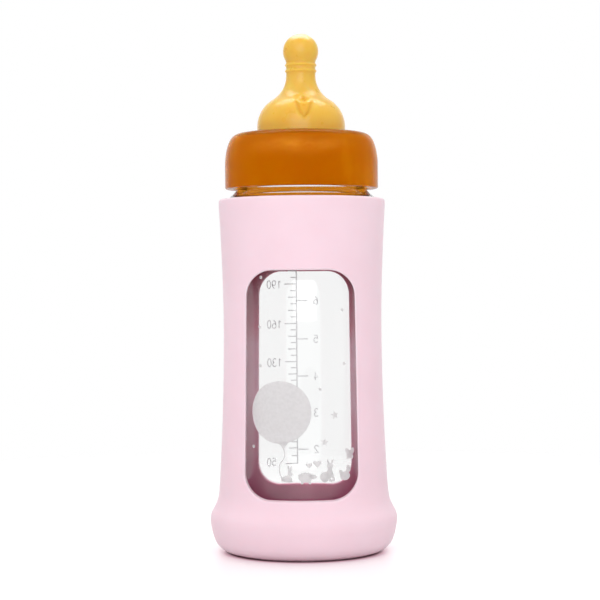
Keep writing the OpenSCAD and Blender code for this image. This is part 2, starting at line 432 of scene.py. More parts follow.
def glass_paint():
    """Clear glass with a faint waviness."""
    paint = Paint("clear_glass", Transmission_Weight=1.0, Roughness=0.0, IOR=1.5)
    paint.shader.inputs["Base Color"].default_value = (0.995, 0.999, 0.998, 1)
    paint.bump(paint.noise(60, 1), 0.00004, 0.25)
    paint.open_to_lamps()
    return paint.material


def latex_paint():
    """Milky amber rubber, with a painted highlight that pales the nipple's tip, and painted shade that
    darkens the vent.
    """
    paint = Paint("latex_rubber", Subsurface_Weight=0.9, Subsurface_Scale=0.004, Specular_IOR_Level=0.4,
                  Coat_Weight=0.32, Coat_Roughness=0.12)
    paint.shader.inputs["Subsurface Radius"].default_value = (1.0, 0.6, 0.15)
    walls = paint.ramp(paint.noise(90, 3), [(0.3, linear(238, 184, 66)), (0.7, linear(241, 191, 80))])
    # The vent's painted shade, a deeper gold.
    grooves = paint.plain(linear(226, 164, 26))
    # A painted highlight: a pale cap on top of the ball.
    walls = paint.mixed(paint.attribute("tip"), walls, paint.plain(linear(255, 244, 206)))
    paint.drive("Base Color", paint.mixed(paint.attribute("vent"), walls, grooves))
    paint.drive("Roughness", paint.spread(paint.noise(300, 2), 0.26, 0.4))
    paint.bump(paint.noise(700, 3), 0.00004, 0.4)
    return paint.material


def ring_paint():
    """Amber plastic that lets light in, with painted glow: a lighter colour in soft patches round its crown,
    and a lighter colour and a faint emission in its bore.
    """
    paint = Paint("amber_plastic", Transmission_Weight=0.4, IOR=1.15, Subsurface_Weight=1.0,
                  Subsurface_Scale=0.005, Sheen_Weight=0.03, Sheen_Roughness=0.3, Emission_Strength=0.25)
    paint.shader.inputs["Subsurface Radius"].default_value = (1.0, 0.5, 0.04)
    paint.shader.inputs["Specular Tint"].default_value = (1.0, 0.5, 0.05, 1)
    paint.shader.inputs["Sheen Tint"].default_value = linear(255, 200, 170)
    outer = paint.ramp(paint.noise(38, 4, (1, 1, 0.45)), [
        (0.3, linear(182, 102, 0)), (0.55, linear(190, 112, 0)), (0.72, linear(208, 138, 10))])
    # Painted glow: soft patches of lighter amber round the crown.
    patches = paint.spread(paint.noise(70, 3, (1, 1, 2.5)), 0.25, 1.0)
    crown = add_math(paint.nodes, paint.links, "MULTIPLY", paint.attribute("crown"), patches)
    outer = paint.mixed(crown, outer, paint.plain(linear(238, 168, 60)))
    # The bore has a painted glow: a lighter amber colour and a faint emission.
    bore = paint.attribute("inside")
    paint.drive("Base Color", paint.mixed(bore, outer, paint.plain(linear(250, 186, 62))))
    glow = paint.mixed(bore, paint.plain((0, 0, 0, 1)), paint.plain(linear(255, 180, 50)))
    paint.drive("Emission Color", glow)
    paint.drive("Roughness", paint.spread(paint.noise(260, 2), 0.15, 0.24))
    paint.bump(paint.noise(900, 2), 0.00004, 0.5)
    return paint.material


def enamel_paint(name, colour, clear=0.0):
    """Fired enamel; clear is how much of the light behind it comes through."""
    paint = Paint(name, Specular_IOR_Level=0.3, Transmission_Weight=clear, IOR=1.1,
                  Subsurface_Weight=0.4, Subsurface_Scale=0.001)
    paint.shader.inputs["Subsurface Radius"].default_value = (1.0, 1.0, 1.0)
    low = tuple(c * 0.94 for c in colour[:3]) + (1,)
    paint.drive("Base Color", paint.ramp(paint.noise(900, 2), [(0.35, low), (0.65, colour)]))
    paint.drive("Roughness", paint.spread(paint.noise(500, 2), 0.45, 0.6))
    return paint.material


# ---- Silicone sleeve ----

FOOT_CENTRE = (FOOT_R, FOOT_STEP + FOOT_ROUND)
FOOT_TO_ROLL = (ROLL_CENTRE[0] - FOOT_CENTRE[0], ROLL_CENTRE[1] - FOOT_CENTRE[1])
LEAN = (math.degrees(math.acos((FOOT_ROUND - ROLL_ROUND) / math.hypot(*FOOT_TO_ROLL)))
        - math.degrees(math.atan2(FOOT_TO_ROLL[1], FOOT_TO_ROLL[0])))
WINDOW_BOTTOM = CREASE_Z + WINDOW_SILL
HEEL_CENTRE = (WAIST_R - GLASS_INSET - HEEL_ROUND, SLEEVE_FLOOR + HEEL_ROUND)

PATCH_BOTTOM = WINDOW_BOTTOM - 2.4  # the windows' patches of the wall run from here
PATCH_TOP = WINDOW_TOP + 3.5  # up to here
ARC_R = 30.0  # radius at which angles turn into widths of the flat pattern
FLANK_FULL = 0.45  # how full the side is between the foot and the roll
FLANK_START = 0.6  # how far above the foot's step that begins
FLOOR_FLAT_R = 8.0  # the middle of the floor, ringed once more to keep its faces even
LIP_PLACE = 0.84  # how far out through the wall its painted highlight lies
LIP_WIDTH = 0.11
LIP_HIGHLIGHT = 0.65
LIP_FROM_Z = 20.0  # only the windows and the mouth have it
EDGE_OUT = 0.8  # rounding of a window's outer edge
EDGE_IN = 0.5  # rounding of its inner edge
PATCH_CURVE = 1.6  # crowds the patch's rows towards the window
STRAIGHT_TO = 45  # degrees from the window's middle up to which its cut runs straight back
STRAIGHT_FADE = 40  # degrees over which that gives way to the radius


def through_wall(r, z):
    """0 on the pocket's wall and 1 on the sleeve's outside."""
    return (r - pocket(z)) / SLEEVE_WALL if z > SLEEVE_FLOOR - 0.01 else 1.0


def window_outline(narrower):
    """The edge of a window that is narrower by that much on each side: (sideways, height) pairs."""
    corner_x = -narrower - WINDOW_ROUND
    side = spaced(
        arc((WINDOW_HALF_BOTTOM + corner_x, WINDOW_BOTTOM + WINDOW_ROUND), WINDOW_ROUND, -90, 0, 60)
        + arc((WINDOW_HALF_TOP + corner_x, WINDOW_TOP - WINDOW_ROUND), WINDOW_ROUND, 0, 90, 60), 0.2)
    other_side = [(-x, z) for x, z in reversed(side)]
    return spaced([(0, WINDOW_BOTTOM)] + side + other_side + [(0, WINDOW_BOTTOM)], 0.2)


def by_direction(outline, centre_z, targets):
    """The outline's points that lie towards the targets, seen from the window's middle."""
    pattern = np.array([(ARC_R * math.asin(x / outside(z)), z) for x, z in outline[:-1]])
    angles = np.arctan2(pattern[:, 1] - centre_z, pattern[:, 0])
    order = np.argsort(angles)
    wanted = [math.atan2(z - centre_z, s) for s, z in targets]
    return [(np.interp(w, angles[order], pattern[order, 0], period=2 * math.pi),
             np.interp(w, angles[order], pattern[order, 1], period=2 * math.pi)) for w in wanted]


def window_patch(turn, narrower):
    """Half of the sleeve's wall with its window: rows of points from the patch's outer border,
    in over the rounded edge and through the cut, and back along the inside."""
    half = AROUND // 4
    across = [ARC_R * math.radians(90) * i / half for i in range(-half, half + 1)]
    tall = int(PATCH_TOP - PATCH_BOTTOM)
    heights = [PATCH_BOTTOM + (PATCH_TOP - PATCH_BOTTOM) * i / tall for i in range(1, tall)]
    border = ([(s, PATCH_BOTTOM) for s in across] + [(across[-1], z) for z in heights]
              + [(s, PATCH_TOP) for s in reversed(across)] + [(across[0], z) for z in reversed(heights)])
    centre_z = (WINDOW_TOP + WINDOW_BOTTOM) / 2
    edge = np.array(by_direction(window_outline(narrower), centre_z, border))
    along = np.roll(edge, -1, axis=0) - np.roll(edge, 1, axis=0)
    away = np.stack([along[:, 1], -along[:, 0]], axis=1)
    away /= np.linalg.norm(away, axis=1)[:, None]
    border = np.array(border)

    rows = []

    def add(pattern, radius):
        """Adds a row: radius(z) is its radius, and pattern its places on the wall's outside."""
        row = []
        for s, z in pattern:
            r = radius(z)
            flat = s / ARC_R
            if abs(flat) < math.radians(89.9):
                # The cut runs straight back, so x stays as it is on the outside near the window
                straight = math.asin(min(1, outside(z) * math.sin(abs(flat)) / r)) if r else flat
                near = clamp(1 - (abs(flat) - math.radians(STRAIGHT_TO)) / math.radians(STRAIGHT_FADE))
                flat = math.copysign(abs(flat) * (1 - near) + straight * near, flat)
            a = math.radians(turn) + flat
            row.append((r * math.cos(a) * MM, r * math.sin(a) * MM, z * MM))
        rows.append(row)

    steps = 14
    for i in range(steps):
        t = 1 - (1 - i / steps) ** PATCH_CURVE
        add(border + (edge + away * EDGE_OUT - border) * t, outside)
    for i in range(6):
        a = math.radians(90 * i / 5)
        add(edge + away * EDGE_OUT * (1 - math.sin(a)),
            lambda z, a=a: outside(z) - EDGE_OUT * (1 - math.cos(a)))
    for i in range(1, 3):
        add(edge, lambda z, t=i / 3: (outside(z) - EDGE_OUT) * (1 - t) + (pocket(z) + EDGE_IN) * t)
    for i in range(5):
        a = math.radians(90 * i / 4)
        add(edge + away * EDGE_IN * (1 - math.cos(a)),
            lambda z, a=a: pocket(z) + EDGE_IN * (1 - math.sin(a)))
    for i in range(1, steps + 1):
        t = (i / steps) ** PATCH_CURVE
        add(edge + away * EDGE_IN + (border - edge - away * EDGE_IN) * t, pocket)
    return rows


def bulged(below, above):
    """The two arcs of the lower side, joined by a slightly full curve."""
    flank = [((1 - t) * below[-1][0] + t * above[0][0], (1 - t) * below[-1][1] + t * above[0][1])
             for t in np.linspace(0.1, 0.9, 9)]
    start_z = FOOT_STEP + FLANK_START
    full = []
    for r, z in below + flank + above:
        swell = FLANK_FULL * math.sin(math.pi * clamp((z - start_z) / (BUMPER_Z - start_z))) ** 2
        full.append((r + swell * cosd(LEAN), z - swell * sind(LEAN)))
    return full


def silicone_sleeve():
    """The sleeve: a turned foot, mouth and pocket, and two patches of wall with a window each."""
    crease = [(outside(z), z) for z in np.linspace(CREASE_Z, PATCH_BOTTOM, 9)]
    foot = [(0, FOOT_RECESS), (FLOOR_FLAT_R, FOOT_RECESS), (FOOT_R - FOOT_W - FOOT_RECESS, FOOT_RECESS),
            (FOOT_R - FOOT_W, 0), (FOOT_R - FOOT_LIP, 0), (FOOT_R - FOOT_LIP, FOOT_STEP)]
    roll = bulged(arc(FOOT_CENTRE, FOOT_ROUND, -90, -LEAN, 16),
                  arc(ROLL_CENTRE, ROLL_ROUND, -LEAN, CREASE_ANGLE, 20))
    lower = foot + roll + crease[1:]
    rim_r = outside(SLEEVE_H)
    levels = np.linspace(PATCH_TOP, SLEEVE_H - RIM_ROUND, 24)
    upper = ([(outside(z), z) for z in levels]
             + arc((rim_r - RIM_ROUND, SLEEVE_H - RIM_ROUND), RIM_ROUND, 10, 90, 7)
             + arc((rim_r - SLEEVE_WALL + RIM_ROUND, SLEEVE_H - RIM_ROUND), RIM_ROUND, 90, 170, 7)
             + [(pocket(z), z) for z in levels[::-1]])
    heel_z = HEEL_CENTRE[1] + SLEEVE_GAP
    inner = ([(pocket(PATCH_BOTTOM), z) for z in np.linspace(PATCH_BOTTOM, heel_z + 1, 8)]
             + arc((HEEL_CENTRE[0], heel_z), HEEL_ROUND + SLEEVE_GAP, 0, -90, 10)
             + [(FLOOR_FLAT_R, SLEEVE_FLOOR), (0, SLEEVE_FLOOR)])
    verts, faces = [], []

    def add_turned(outline):
        """A band of revolution, closed at the axis where its outline reaches it."""
        start = len(verts)
        tips = [p for p in outline if p[0] == 0]
        ring = [p for p in outline if p[0] > 0]
        for r, z in ring:
            verts.extend(circle(r, z, AROUND))
        faces.extend(tuple(start + i for i in f) for f in grid_faces(len(ring), AROUND, False))
        for tip in tips:
            verts.append((0, 0, tip[1] * MM))
            row = start if outline[0] == tip else start + (len(ring) - 1) * AROUND
            faces.extend((len(verts) - 1, row + j, row + (j + 1) % AROUND) for j in range(AROUND))

    for outline in (lower, upper, inner):
        add_turned(outline)
    for turn, narrower in ((-90, 0), (90, REAR_WINDOW_IN)):
        rows = window_patch(turn, narrower)
        start = len(verts)
        for row in rows:
            verts.extend(row)
        faces.extend(tuple(start + i for i in f) for f in grid_faces(len(rows), len(rows[0]), False))
    mesh = bpy.data.meshes.new("silicone_sleeve_soft")
    mesh.from_pydata(verts, [], faces)
    outward(mesh)

    def rim_light(r, z, _):
        """The strength of the painted highlight near the outer edge of the wall's cuts."""
        if z <= LIP_FROM_Z:
            return 0
        return LIP_HIGHLIGHT * math.exp(-((through_wall(r, z) - LIP_PLACE) / LIP_WIDTH) ** 2)

    # inside: 1 on the pocket's side of the wall, where the painted shade lies
    mark(mesh, "inside", lambda r, z, _: clamp(1.4 - 2.0 * through_wall(r, z)))
    # lip: where the painted highlight lies along the cuts
    mark(mesh, "lip", rim_light)
    return mesh


# ---- Glass bottle ----

RIM_R = outside(SLEEVE_H)
BODY_TOP_R = RIM_R - GLASS_INSET
NECK_R = BODY_TOP_R - NECK_IN
SLOPE_ANGLE = 90 - SHOULDER_SLOPE
SHOULDER_FALL = ((BODY_TOP_R - SHOULDER_ROUND * (1 - cosd(SLOPE_ANGLE)) - NECK_R)
                 * math.tan(math.radians(SHOULDER_SLOPE)))
SHOULDER_Z = NECK_FOOT_Z - SHOULDER_FALL - SHOULDER_ROUND * sind(SLOPE_ANGLE)
SHOULDER_CENTRE = (BODY_TOP_R - SHOULDER_ROUND, SHOULDER_Z)


def glass_curve(inset, neck):
    """The body from heel to neck foot, moved in by inset."""
    fillet = (neck + NECK_FILLET + inset,
              NECK_FOOT_Z + NECK_FILLET * math.tan(math.radians(SHOULDER_SLOPE)) + inset * 0.2)
    wall = [(pocket(z, GLASS_INSET + inset), z)
            for z in np.linspace(HEEL_CENTRE[1] + 1, SHOULDER_Z - 1, 60)]
    return (arc(HEEL_CENTRE, HEEL_ROUND - inset, -90, 0, 16) + wall
            + arc(SHOULDER_CENTRE, SHOULDER_ROUND - inset, 0, SLOPE_ANGLE, 14)
            + arc(fillet, NECK_FILLET + inset, 180 + SLOPE_ANGLE, 180, 8))


def glass_bottle():
    """The bottle: a blown body with a raised floor, and a threaded neck."""
    outer = glass_curve(0, NECK_R)
    neck = [(NECK_R, z) for z in np.arange(outer[-1][1] + 0.2, MOUTH_Z - MOUTH_ROUND, 0.2)]
    mouth = (arc((NECK_R - MOUTH_ROUND, MOUTH_Z - MOUTH_ROUND), MOUTH_ROUND, 0, 90, 6)
             + arc((NECK_R - NECK_WALL + MOUTH_ROUND, MOUTH_Z - MOUTH_ROUND), MOUTH_ROUND, 90, 180, 6))
    punt_r = HEEL_CENTRE[0] - STAND_W
    punt_z = SLEEVE_FLOOR + PUNT_H
    floor_z = SLEEVE_FLOOR + GLASS_FLOOR
    foot = [(0, punt_z), (punt_r - 8, punt_z), (punt_r - 3, punt_z - 0.12), (punt_r - 1.2, punt_z - 0.6),
            (punt_r - 0.4, SLEEVE_FLOOR + 0.12), (punt_r, SLEEVE_FLOOR)]
    inside = glass_curve(GLASS_WALL, NECK_R - NECK_WALL)[::-1]

    def threaded(r, z, angle):
        return r + (ridge(z, angle, THREAD_Z, GLASS_TURNS) if abs(r - NECK_R) < 1e-6 else 0)

    floor = [(FLOOR_FLAT_R, floor_z), (0, floor_z)]
    return turned("glass_bottle_clear", foot + outer + neck + mouth + inside + floor, threaded)


# ---- Teat ----

DOME_CENTRE = (DOME_R - DOME_ROUND, RING_TOP + 2.4)
FLARE_X = NIPPLE_R + FLARE_ROUND
FLARE_RISE = math.sqrt((DOME_ROUND + FLARE_ROUND) ** 2 - (FLARE_X - DOME_CENTRE[0]) ** 2)
FLARE_CENTRE = (FLARE_X, DOME_CENTRE[1] + FLARE_RISE)
TOUCH_ANGLE = math.degrees(math.atan2(FLARE_RISE, FLARE_X - DOME_CENTRE[0]))
RIB_Z = FLARE_CENTRE[1] + RIB_LIFT
BALL_FOOT = math.degrees(math.acos(NIPPLE_R / BALL_R))
BALL_Z = RIB_Z + 1.5 * RIB_PITCH + BALL_LIFT + BALL_R * sind(BALL_FOOT)
FLANGE_R = NECK_R - 0.4
VENT_Z = 169.9  # middle of the vent's dimple
VENT_TOP_Z = VENT_Z - 1.3
VENT_TIP_Z = 163.1  # lower end of the grooves that meet under it
VENT_HALF = 2.9  # half the distance between the grooves' upper ends
VENT_REACH = 6.0  # nothing of the vent lies further than this to its side
VENT_SPAN = (160.0, 174.0)  # or out of these heights
TIP_FROM = 0.58  # how far up the ball, in shares of its radius, the painted highlight starts
TIP_FADE = 0.26
TIP_HIGHLIGHT = 0.75


def beside_vent(r, angle):
    """How far a point lies round the dome from the vent's middle line, in millimetres."""
    return math.radians((angle + 90 - VENT_TURN + 180) % 360 - 180) * r


def up_grooves(z):
    """0 at the grooves' lower end and 1 at their upper ends."""
    return (z - VENT_TIP_Z) / (VENT_TOP_Z - VENT_TIP_Z)


def ribbed(inset, ribs):
    """The nipple's neck with its two rounded ribs, moved in by inset."""
    points = []
    for z in np.arange(FLARE_CENTRE[1] + 0.3, BALL_Z - BALL_R * sind(BALL_FOOT) - 0.3, 0.15):
        swell = sum(math.exp(-((z - RIB_Z - k * RIB_PITCH) / 0.5) ** 2) for k in (0, 1))
        points.append((NIPPLE_R - inset + ribs * swell, z))
    return points


def teat_curve(inset, ribs):
    """The teat from the ring's hole to the tip, moved in by inset."""
    dome = [(DOME_R - inset, z) for z in np.linspace(FLANGE_TOP + 0.4, DOME_CENTRE[1], 8)]
    top = math.degrees(math.acos(FEED_HOLE_R / (BALL_R - inset)))
    return (spaced(dome, 0.35)
            + spaced(arc(DOME_CENTRE, DOME_ROUND - inset, 2, TOUCH_ANGLE, 40), 0.3)
            + spaced(arc(FLARE_CENTRE, FLARE_ROUND + inset, 180 + TOUCH_ANGLE - 2, 180, 36), 0.3)
            + ribbed(inset, ribs)
            + arc((0, BALL_Z), BALL_R - inset, -BALL_FOOT + 4, top, 30))


def teat():
    """The teat: a flange, a dome with its air vent, and a ribbed nipple with a feeding hole."""
    outline = ([(DOME_R - TEAT_WALL, MOUTH_Z), (FLANGE_R - 0.2, MOUTH_Z), (FLANGE_R, MOUTH_Z + 0.2),
                (FLANGE_R, FLANGE_TOP - 0.2), (FLANGE_R - 0.2, FLANGE_TOP), (DOME_R, FLANGE_TOP)]
               + teat_curve(0, RIB_H) + teat_curve(TEAT_WALL, 0)[::-1])
    inner = {(round(r, 4), round(z, 4)) for r, z in teat_curve(TEAT_WALL, 0)}

    def hollow(r, z, angle):
        """Depth of the vent's dimple, and of the two grooves under it, on the dome."""
        side = beside_vent(r, angle)
        if abs(side) > VENT_REACH or not VENT_SPAN[0] < z < VENT_SPAN[1]:
            return 0.0, 0.0
        drop = (VENT_Z - z) / 0.8
        dimple = 0.7 * math.exp(-((side / 1.5) ** 2 + (drop / 1.35) ** 2) ** 2)
        t = up_grooves(z)
        groove = 0.0
        if -0.2 < t < 1.15:
            line = VENT_HALF * max(t, 0) ** 0.5
            fade = min(1, (t + 0.2) / 0.2, (1.15 - t) / 0.25)
            groove = 0.5 * math.exp(-((abs(side) - line) / 0.7) ** 2) * fade
        return dimple, groove

    def vented(r, z, angle):
        """Presses the vent into the dome's outside."""
        if (round(r, 4), round(z, 4)) in inner:
            return r
        side = beside_vent(r, angle)
        lip = 0.25 * math.exp(-((side / 2.6) ** 2 + ((z - VENT_Z + 1.5) / 0.7) ** 2))
        return r - sum(hollow(r, z, angle)) + lip

    def darker(r, z, angle):
        """How much the rubber is dimmed: 1 in the vent's groove and dimple, as painted shade in those
        hollows, and less between them.
        """
        dimple, groove = hollow(r, z, angle)
        t = up_grooves(z)
        between = 0.4 if 0 < t < 0.85 and abs(beside_vent(r, angle)) < VENT_HALF * t ** 0.5 else 0.0
        return min(1.0, max(between, 1.3 * dimple + 1.6 * groove))

    mesh = turned("teat_latex", outline, vented, TEAT_AROUND)
    # vent: where the painted shade lies
    mark(mesh, "vent", darker)
    # tip: the painted highlight's mask
    mark(mesh, "tip", lambda r, z, _: TIP_HIGHLIGHT * clamp(((z - BALL_Z) / BALL_R - TIP_FROM) / TIP_FADE))
    return mesh


# ---- Screw ring ----

RING_BORE_R = NECK_R + RIDGE_H + RIDGE_GAP
RING_R = RING_BORE_R + RING_WALL
HOLE_R = DOME_R + DOME_GAP
CROWN_Z = RING_BOTTOM + RING_STRAIGHT
CROWN_IN = 1.6  # the two powers of the crown's curve
CROWN_DOWN = 0.16
CROWN_GLOW_HALF = 2.6  # half the height of the crown's painted glow
CROWN_GLOWS = 3  # in this many patches round it


def crown_glow(r, z, angle):
    """Where the crown's painted glow lies: soft patches around it, standing in for light that enters the
    ring's top and comes out again.
    """
    lobe = (0.5 + 0.5 * cosd(CROWN_GLOWS * (angle + 90))) ** 1.5
    return lobe * math.exp(-((z - CROWN_GLOW_Z) / CROWN_GLOW_HALF) ** 2)


def screw_ring():
    """The ring: a straight wall under a rounded crown, with a hole for the dome and a threaded bore."""
    crown = []
    for i in range(41):
        up = sind(90 * i / 40)
        r = HOLE_R + (RING_R - HOLE_R) * (1 - up ** CROWN_IN) ** CROWN_DOWN
        crown.append((r, CROWN_Z + (RING_TOP - CROWN_Z) * up))
    wall = [(RING_R, z) for z in np.linspace(RING_BOTTOM + RING_CHAMFER, CROWN_Z - 0.3, 8)]
    bore = [(RING_BORE_R, z) for z in np.arange(FLANGE_TOP - 0.3, RING_BOTTOM + RING_CHAMFER, -0.2)]
    outline = ([(RING_BORE_R + RING_CHAMFER, RING_BOTTOM)]
               + [(RING_R - RING_CHAMFER, RING_BOTTOM)]
               + arc((RING_R - RING_CHAMFER, RING_BOTTOM + RING_CHAMFER), RING_CHAMFER, -80, -10, 6)
               + wall + crown + [(HOLE_R, FLANGE_TOP), (RING_BORE_R - 0.3, FLANGE_TOP)] + bore)

    def threaded(r, z, angle):
        return r - (ridge(z, angle, THREAD_Z - FLANK_STEP, RING_TURNS) if abs(r - RING_BORE_R) < 1e-6 else 0)

    mesh = turned("screw_ring_amber", outline, threaded)
    # inside: the bore, where the painted glow lies
    mark(mesh, "inside", lambda r, z, _: 1.0 if r < RING_BORE_R + 0.1 and z < FLANGE_TOP - 0.1 else 0.0)
    # crown: where the painted glow's patches lie
    mark(mesh, "crown", crown_glow)
    return mesh


# ---- Enamel on the glass ----

ENAMEL_T = 0.06  # thickness of the fired enamel
ENAMEL_GAP = 0.02  # keeps it clear of the glass, so that the two don't show through each other
SCALE_ML = (50, 60, 130, 160, 190, 220)  # marks whose heights
SCALE_Z = (30.3, 36.34, 70.35, 85.35, 100.93, 116.5)  # are these; the rest lie evenly between them
OUNCE = 29.57  # millilitres in a fluid ounce
DOTS = ((-15.1, 103.4), (-15.8, 85.3), (-15.6, 71.0), (-19.1, 41.4), (16.1, 91.3), (16.9, 71.7),
        (7.1, 62.5))

DIGIT_W = 1.7
DIGIT_H = 3.05
DIGIT_GAP = 0.72
DIGIT_STROKE = 0.42
SCALE_X = 3.4  # the scale's long line, to the right of the middle of the back
SCALE_LINE_W = 0.52
TICK_W = 0.42
TICK_FROM = 0.28  # ticks start this far from the long line's middle
TICK_LONG = 5.0
TICK_MIDDLE = 3.6
TICK_SHORT = 2.5
TICK_OUNCE = 4.6
ML_X = 9.7  # a number's middle, from the long line
ML_50_X = 11.4  # the lowest number stands further out and up
ML_DROP = -0.2
ML_50_LIFT = 0.9
OUNCE_X = -8.0


def bow(centre, across, up, start, end, steps=18):
    """Points along part of an oval, for a digit in a box from -0.5 to 0.5."""
    return [(centre[0] + across * cosd(a), centre[1] + up * sind(a))
            for a in np.linspace(start, end, steps)]


DIGITS = {
    "0": [bow((0, 0), 0.5, 0.5, 90, 449, 36)],
    "1": [[(0.12, -0.5), (0.12, 0.5)], [(0.05, 0.44), (-0.3, 0.28)]],
    "2": [bow((0, 0.24), 0.48, 0.26, 165, -35) + [(-0.46, -0.46), (0.5, -0.46)]],
    "3": [bow((-0.02, 0.26), 0.42, 0.24, 150, -80) + bow((-0.02, -0.24), 0.5, 0.26, 80, -150)],
    "4": [[(0.22, -0.5), (0.22, 0.48), (-0.48, -0.2), (0.5, -0.2)]],
    "5": [[(0.42, 0.46), (-0.34, 0.46), (-0.4, 0.06)] + bow((-0.02, -0.17), 0.5, 0.31, 130, -145)],
    "6": [bow((0, -0.2), 0.48, 0.3, 90, 449, 26), bow((0.42, -0.1), 0.9, 0.62, 104, 178, 12)],
    "7": [[(-0.45, 0.46), (0.46, 0.46), (-0.12, -0.5)]],
    "9": [bow((0, 0.2), 0.48, 0.3, 90, 449, 26), bow((-0.42, 0.1), 0.9, 0.62, -76, -2, 12)],
}


class Print:
    """Flat shapes that end up as one thin closed mesh wrapped on the glass.
    Shapes are drawn as seen from outside the glass, sideways to the right and up, in millimetres."""

    def __init__(self, name):
        self.name = name
        self.bm = bmesh.new()

    def polygon(self, points):
        """A filled outline."""
        self.bm.faces.new([self.bm.verts.new((x, z, 0)) for x, z in points])

    def strip(self, points, width):
        """A line of a width along points, with square ends."""
        line = np.array(points, float)
        along = np.gradient(line, axis=0)
        along /= np.linalg.norm(along, axis=1)[:, None]
        side = np.stack([-along[:, 1], along[:, 0]], axis=1) * width / 2
        left = [self.bm.verts.new((x, z, 0)) for x, z in line + side]
        right = [self.bm.verts.new((x, z, 0)) for x, z in line - side]
        for i in range(len(line) - 1):
            self.bm.faces.new((left[i], right[i], right[i + 1], left[i + 1]))

    def oval(self, centre, across, up, lean=0.0, count=36):
        """An ellipse, leaning to the left by lean degrees."""
        a = math.radians(lean)
        points = []
        for i in range(count):
            t = 2 * math.pi * i / count
            x, z = across * math.cos(t), up * math.sin(t)
            points.append((centre[0] + x * math.cos(a) - z * math.sin(a),
                           centre[1] + x * math.sin(a) + z * math.cos(a)))
        self.polygon(points)

    def star(self, centre, size, lean=0.0):
        """A five-pointed star; size is its radius."""
        self.polygon([polar(centre, size * (0.4 if i % 2 else 1), 90 + lean + 36 * i) for i in range(10)])

    def heart(self, centre, size):
        """A heart; size is half its width."""
        points = []
        for i in range(32):
            t = 2 * math.pi * i / 32
            x = 16 * math.sin(t) ** 3
            z = 13 * math.cos(t) - 5 * math.cos(2 * t) - 2 * math.cos(3 * t) - math.cos(4 * t)
            points.append((centre[0] + size * x / 16, centre[1] + size * z / 16))
        self.polygon(points[::-1])

    def number(self, text, centre):
        """A number in plain strokes, with its middle at centre."""
        pitch = DIGIT_W + DIGIT_GAP
        for i, digit in enumerate(text):
            x = centre[0] + (i - (len(text) - 1) / 2) * pitch
            for stroke in DIGITS[digit]:
                line = [(x + DIGIT_W * across, centre[1] + DIGIT_H * up) for across, up in stroke]
                self.strip(line, DIGIT_STROKE)

    def wrap(self, turn, material):
        """Bends the shapes round the glass, gives them their thickness and makes the piece.
        turn is the direction that the middle of the print faces, in degrees."""
        bm = self.bm
        bmesh.ops.remove_doubles(bm, verts=bm.verts, dist=1e-4)
        bmesh.ops.triangulate(bm, faces=bm.faces)
        for _ in range(6):
            long_edges = [e for e in bm.edges
                          if e.calc_length() > 0.9 and abs(e.verts[0].co.x - e.verts[1].co.x) > 0.5]
            if not long_edges:
                break
            bmesh.ops.subdivide_edges(bm, edges=long_edges, cuts=1)
            bmesh.ops.triangulate(bm, faces=[f for f in bm.faces if len(f.verts) > 3])
        bmesh.ops.recalc_face_normals(bm, faces=bm.faces)
        for f in bm.faces:
            if f.normal.z < 0:
                f.normal_flip()
        made = bmesh.ops.extrude_face_region(bm, geom=bm.faces[:])
        top = [v for v in made["geom"] if isinstance(v, bmesh.types.BMVert)]
        for v in top:
            v.co.z = ENAMEL_T
        for v in bm.verts:
            x, z, up = v.co
            r = pocket(z, GLASS_INSET)
            a = math.radians(turn) + x / r
            r += ENAMEL_GAP + up
            v.co = Vector((r * math.cos(a), r * math.sin(a), z)) * MM
        bmesh.ops.recalc_face_normals(bm, faces=bm.faces)
        mesh = bpy.data.meshes.new(self.name)
        bm.to_mesh(mesh)
        bm.free()
        return finish_piece(self.name, mesh, "bottle", material, 30)


def scale_height(ml):
    """The height that a volume reaches in the bottle."""
    return float(np.interp(ml, SCALE_ML, SCALE_Z))


def volume_scale(material):
    """The scale on the back: millilitres to the right of its line, ounces to the left."""
    scale = Print("volume_scale")
    ends = [(SCALE_X, scale_height(50) - TICK_W / 2), (SCALE_X, scale_height(220) + TICK_W / 2)]
    scale.strip(ends, SCALE_LINE_W)
    for ml in range(50, 221, 5):
        if (ml - 10) % 30 == 0 or ml == 50:
            length = TICK_LONG
        else:
            length = TICK_MIDDLE if ml % 10 == 0 else TICK_SHORT
        z = scale_height(ml)
        scale.strip([(SCALE_X + TICK_FROM, z), (SCALE_X + length, z)], TICK_W)
    scale.number("50", (SCALE_X + ML_50_X, scale_height(50) + ML_50_LIFT))
    for ml in (100, 130, 160, 190, 220):
        scale.number(str(ml), (SCALE_X + ML_X, scale_height(ml) + ML_DROP))
    for ounces in range(2, 8):
        z = scale_height(ounces * OUNCE)
        scale.strip([(SCALE_X - TICK_FROM, z), (SCALE_X - TICK_OUNCE, z)], TICK_W)
        scale.number(str(ounces), (SCALE_X + OUNCE_X, z))
    return scale.wrap(90, material)


def smooth(points, steps=8):
    """A rounded curve through the points."""
    ends = [points[0]] + list(points) + [points[-1]]
    curve = []
    for a, b, c, d in zip(ends, ends[1:], ends[2:], ends[3:]):
        for t in np.linspace(0, 1, steps, endpoint=False):
            curve.append(tuple(
                0.5 * (2 * b[i] + (c[i] - a[i]) * t + (2 * a[i] - 5 * b[i] + 4 * c[i] - d[i]) * t ** 2
                       + (3 * b[i] - a[i] - 3 * c[i] + d[i]) * t ** 3) for i in (0, 1)))
    return curve + [tuple(points[-1])]


